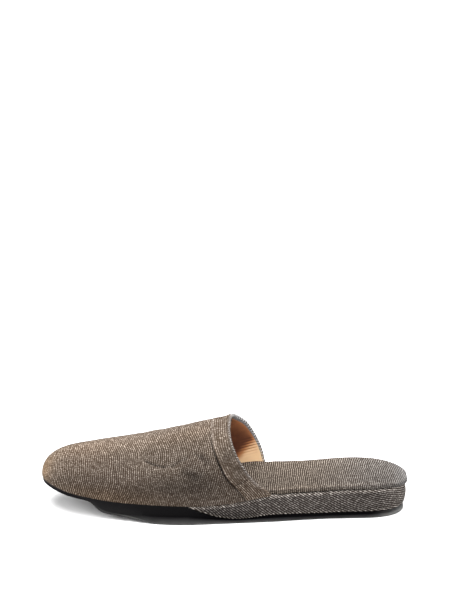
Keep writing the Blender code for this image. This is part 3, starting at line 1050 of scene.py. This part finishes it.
wedge = {
    "stations": 200,
    "inset": 0.7,
    "heelInset": 1.5,
    "endGap": 0.1,
    "noseTip": 167.5,
    "soft": 1.0,  # rounding of the edges
    "softMost": 0.3,  # and its most, as a share of the height
    "levels": 14,
    "bulge": 0.5,
    "bulgeHeight": 12.0,  # lower parts bulge less
    "underAlong": [0, 60, 95, 110, 122, 130, 137, 147, 158, 168, 190],
    "under": [4.1, 4.1, 4.3, 3.8, 2.2, 1.7, 2.0, 3.9, 7.6, 11.3, 11.6],
    "heelBulge": (1.4, 0.65, 14.0),  # round heel end: amount, part that goes inwards, reach
    "slantAt": [0, 30, 60, 110, 150, 185],  # distance from the tip of the heel
    "slant": [0, 12, 23, 33, 38, 42],  # degrees
    # pale twisted edges, the top one also painted light against the pad's shadow, and a painted shadow
    # under the wings of the upper
    "lowRope": (1.2, 1.8, 0.9),
    "topRopeAndLight": (1.9, 3.0, 1.0),
    "seamShade": (-0.8, 1.4, 0.6),
    "seamStart": (100.0, 106.0),
    "seamEnd": (132.0, 122.0),
    # nose, rear part, heel end
    "shade": [(-0.38, 105.0, 135.0), (-0.12, 80.0, 20.0), (0.6, 28.0, 6.0)],
    "darkest": -0.85,
    "look": dict(cloth, dash=1.7, grain=1.0, least=0.5, dark=(0.0075, 0.0053, 0.0039),
                 light=(0.187, 0.17, 0.157), waver=0.45),
}


def wedgeUnder(along):
    return through(wedge["underAlong"], wedge["under"], along)


def wedgeSection(along):
    low, high = outline(along, inset=wedge["inset"], heel=wedge["heelInset"])
    top, bottom = seat(along), wedgeUnder(along)
    tall = top - bottom
    soft = np.minimum(wedge["soft"], tall * wedge["softMost"])
    bulge = wedge["bulge"] * np.minimum(tall / wedge["bulgeHeight"], 1.0)
    half = [(soft, bottom), (0.3 * soft, bottom + 0.25 * soft)]
    for k in range(wedge["levels"] + 1):
        t = k / wedge["levels"]
        half.append((-bulge * math.sin(math.pi * t), bottom + 0.8 * soft + (tall - 1.6 * soft) * t))
    half += [(0.3 * soft, top - 0.25 * soft), (soft, top)]
    return ring(low, high, half)


def wedgeWeave(along, across, height):
    # wales turn with the distance run from the heel, each side for itself
    step = np.hypot(np.diff(along, axis=1), np.diff(across, axis=1))
    run = np.concatenate([0 * step[:, :1], np.cumsum(step, axis=1)], axis=1) + np.abs(across[:, :1])
    side = np.where(across < 0, 1.0, -1.0)
    slant = np.radians(np.interp(run, wedge["slantAt"], wedge["slant"]))
    drift = np.cumsum(np.sin(slant) * np.diff(run, axis=1, prepend=0.0), axis=1)
    u = height * np.cos(slant) - side * drift
    return u, side * run * np.cos(slant) + height * np.sin(slant)


def wedgeShade(along, above, below):
    wing = softStep(*wedge["seamStart"], along) * softStep(*wedge["seamEnd"], along)
    # pale twisted edges, the top one brightened with painted light, and a painted shadow under the wings
    shade = stepOf(wedge["lowRope"], above) + stepOf(wedge["topRopeAndLight"], below)
    shade = shade + stepOf(wedge["seamShade"], below) * wing
    shade = shade + sum(stepOf(part, along) for part in wedge["shade"])
    return np.maximum(shade, wedge["darkest"])


def makeWedge():
    start = wedge["heelInset"] + wedge["endGap"]
    piece, points, _ = makeLoft("wedge_cover", wedge["stations"], start, wedge["noseTip"], wedgeSection)
    along, across, height = points[..., 0], points[..., 1], points[..., 2]
    above, below = height - wedgeUnder(along), seat(along) - height
    level = np.clip(above / (above + below), 0.0, 1.0)
    amount, inwards, reach = wedge["heelBulge"]
    bulged = points.copy()
    bulged[..., 0] -= amount * (np.sin(math.pi * level) - inwards) * hump(along, 0.0, reach)
    setShape(piece, bulged)
    u, v = wedgeWeave(along, across, height)
    paint(piece, "weave", u / cloth["pitch"], v / cloth["pitch"], 0 * u)
    paint(piece, "toneAndLight", 0 * u, wedgeShade(along, above, below), 0 * u)
    sewUp(fill=True)
    handOver(piece, "wedge_cloth", twill("wedgeTwill", wedge["look"]), "heel_wedge")


makeWedge()


# rubber sole

sole = {
    "stations": 220,
    "inset": 0.7,
    "waistInset": 1.5,
    "heelInset": 3.2,
    "endGap": 0.1,
    "gap": 0.3,  # under the wedge
    "noseBlend": 40.0,
    "flare": 0.08,
    "soft": 1.0,  # rounding of the lower edge
    "ballSoft": 3.0,  # and under the ball
    "ballStart": (190.0, 215.0),
    "softMost": 0.3,  # and its most, as a share of the thickness
    "strip": 1.0,  # height of the proud lower edge
    "stripMost": 0.55,
    "recess": 1.0,
    "recessHeight": 6.0,  # thinner parts are recessed less
    "lipAlong": [0, 40, 70, 110, 150, 180, 200, 220, 240, 258],
    "lip": [4.0, 3.6, 2.6, 4.4, 5.4, 4.6, 2.0, -1.4, -1.6, 0.0],  # how far the lower edge stands out
    "treadAlong": [0, 190, 205, 215, 226, 232, 236, 239, 242, 246, 252, 265, 282],
    "tread": [0.0, 0.0, 1.2, 2.0, 2.9, 4.0, 5.8, 8.6, 11.2, 12.5, 13.2, 14.9, 18.2],
    # painted reflection of the floor on the lower edge: shares by the corners up from the underside,
    # narrow, and wide at the heel
    "narrow": ([2, 3, 4, 5], [1.0, 0.7, 0.3, 0.0]),
    "wide": ([3, 6, 7], [1.0, 0.5, 0.0]),
    "wideStart": (32.0, 8.0),
    "stripAlong": [0, 12, 30, 70, 110, 150, 190, 222],
    "stripShare": [0.7, 0.6, 0.34, 0.22, 0.38, 0.45, 0.38, 0.0],
    "ballAlong": [195, 215, 240, 250],
    "ballShare": [0.0, 0.1, 0.1, 0.0],  # painted reflection of the floor, paler towards it under the ball
    "ballPower": 4,
    "colour": (0.0015, 0.0013, 0.0016),
    "reflectionColour": (0.16, 0.16, 0.155),
    "cloud": (120.0, 0.8),  # scale, amount
    "grainScale": 1500.0,
    "roughness": 0.55,
    "specular": 0.06,
    "bumpStrength": 0.4,
}


def soleRubber():
    material, tree, shader = newMaterial("soleRubber")
    strip, _, _ = split(tree, attribute(tree, "toneAndLight"))
    scale, amount = sole["cloud"]
    cloud = calc(tree, "MULTIPLY_ADD", noise(tree, place(tree), scale, 3.0), amount, 1 - amount / 2)
    # painted reflection of the floor: lighter grey on the lower edge
    edgeReflection = calc(tree, "MULTIPLY", strip, cloud)
    feed(tree, shader["Base Color"], blend(tree, edgeReflection, sole["colour"], sole["reflectionColour"]))
    shader["Specular IOR Level"].default_value = sole["specular"]
    fineGrain(tree, shader, sole)
    return material


def soleSection(along):
    behind = softStep(wedge["noseTip"], wedge["noseTip"] - sole["noseBlend"], along)
    inset = mixed(sole["inset"], sole["waistInset"], behind)
    low, high = outline(along, inset=inset, heel=sole["heelInset"], toe=sole["inset"])
    top = seat(along)
    under = np.minimum(top, wedgeUnder(along) - sole["gap"])
    top = np.where(along < wedge["noseTip"] + sole["gap"], under, top)
    bottom = np.maximum(through(sole["treadAlong"], sole["tread"], along), 0.0)
    thick = top - bottom
    soft = mixed(sole["soft"], sole["ballSoft"], softStep(*sole["ballStart"], along))
    soft = np.minimum(soft, thick * sole["softMost"])
    most = (high - low) / 2
    flare = np.minimum(thick, most) * sole["flare"] + through(sole["lipAlong"], sole["lip"], along)
    strip = np.minimum(sole["strip"], thick * sole["stripMost"])
    recess = sole["recess"] * np.minimum(thick / sole["recessHeight"], 1.0)
    recess = np.minimum(recess, 0.5 * most)
    half = [
        (soft - flare, bottom),
        (0.3 * soft - flare, bottom + 0.3 * soft),
        (-flare, bottom + soft),
        (-flare, bottom + mixed(soft, strip, 0.6)),
        (0.35 * recess - flare, bottom + strip),
        (recess, bottom + mixed(strip, thick, 0.25)),
        (0.7 * recess, bottom + mixed(strip, thick, 0.7)),
        (0 * soft, top),
    ]
    return ring(low, high, half)


def makeSole():
    start = sole["heelInset"] + sole["endGap"]
    end = last["length"] - sole["inset"] - sole["endGap"]
    piece, points, index = makeLoft("sole_rubber_piece", sole["stations"], start, end, soleSection)
    setShape(piece, points)
    along = points[..., 0]
    # painted reflection of the floor along the lower edge and under the ball
    level = np.minimum(index, index.max() - index)
    narrow = np.interp(level, *sole["narrow"])
    wide = np.interp(level, *sole["wide"])
    edge = mixed(narrow, wide, softStep(*sole["wideStart"], along))
    edge = edge * np.interp(along, sole["stripAlong"], sole["stripShare"])
    edge = edge + wide ** sole["ballPower"] * np.interp(along, sole["ballAlong"], sole["ballShare"])
    paint(piece, "toneAndLight", edge, 0 * edge, 0 * edge)
    sewUp(fill=True)
    handOver(piece, "sole_rubber", soleRubber(), "outsole")


makeSole()


# studio

studio = {
    "floorSize": 60.0,
    "floorColour": (0.5, 0.5, 0.5),
    "floorGlow": 0.05,
    "sunStrength": 12.5,
    "sunSpread": 80.0,
    "sunTilt": (-8.0, 4.0),  # its light runs a little towards the camera and the toe
    # strength, spread, degrees from overhead, degrees around from the camera's side towards the heel
    "fill": (1.9, 30.0, 58.0, 17.0),
    "toeLight": (4.5, 40.0, 62.0, -78.0),
    "sky": 0.25,
}


def addLight(name, strength, spread, turns):
    bpy.ops.object.light_add(type="SUN", location=(0, 0, 2))
    light = bpy.context.object
    light.name = name
    light.data.energy = strength
    light.data.angle = math.radians(spread)
    light.rotation_euler = [math.radians(turn) for turn in turns]


def makeStudio():
    bpy.ops.object.select_all(action="DESELECT")
    bpy.ops.mesh.primitive_plane_add(size=studio["floorSize"])
    floor = bpy.context.object
    floor.name = "floor"
    material, tree, shader = newMaterial("floorPaper")
    shader["Base Color"].default_value = (*studio["floorColour"], 1.0)
    shader["Roughness"].default_value = 0.9
    shader["Specular IOR Level"].default_value = 0.1
    shader["Emission Color"].default_value = (1.0, 1.0, 1.0, 1.0)
    shader["Emission Strength"].default_value = studio["floorGlow"]
    floor.data.materials.append(material)

    tiltX, tiltY = studio["sunTilt"]
    addLight("soft_top_light", studio["sunStrength"], studio["sunSpread"], (tiltX, tiltY, 0))
    for name in ("fill", "toeLight"):
        strength, spread, lean, turn = studio[name]
        addLight(name, strength, spread, (lean, 0, turn))

    world = bpy.data.worlds.new("studioAir")
    bpy.context.scene.world = world
    world.use_nodes = True
    air = world.node_tree.nodes["Background"]
    air.inputs["Color"].default_value = (1.0, 1.0, 1.0, 1.0)
    air.inputs["Strength"].default_value = studio["sky"]


makeStudio()


# camera at the photograph's angle

view = {
    "place": (0.0006, -1.2292, 0.4482),
    "down": 13.195,  # degrees
    "lens": 100.5,
    "sensor": 36.0,
}

bpy.ops.object.camera_add(location=view["place"], rotation=(math.radians(90 - view["down"]), 0, 0))
camera = bpy.context.object
camera.data.lens = view["lens"]
camera.data.sensor_width = view["sensor"]
bpy.context.scene.camera = camera
bpy.context.scene.view_settings.view_transform = "Standard"
print("camera and light set")
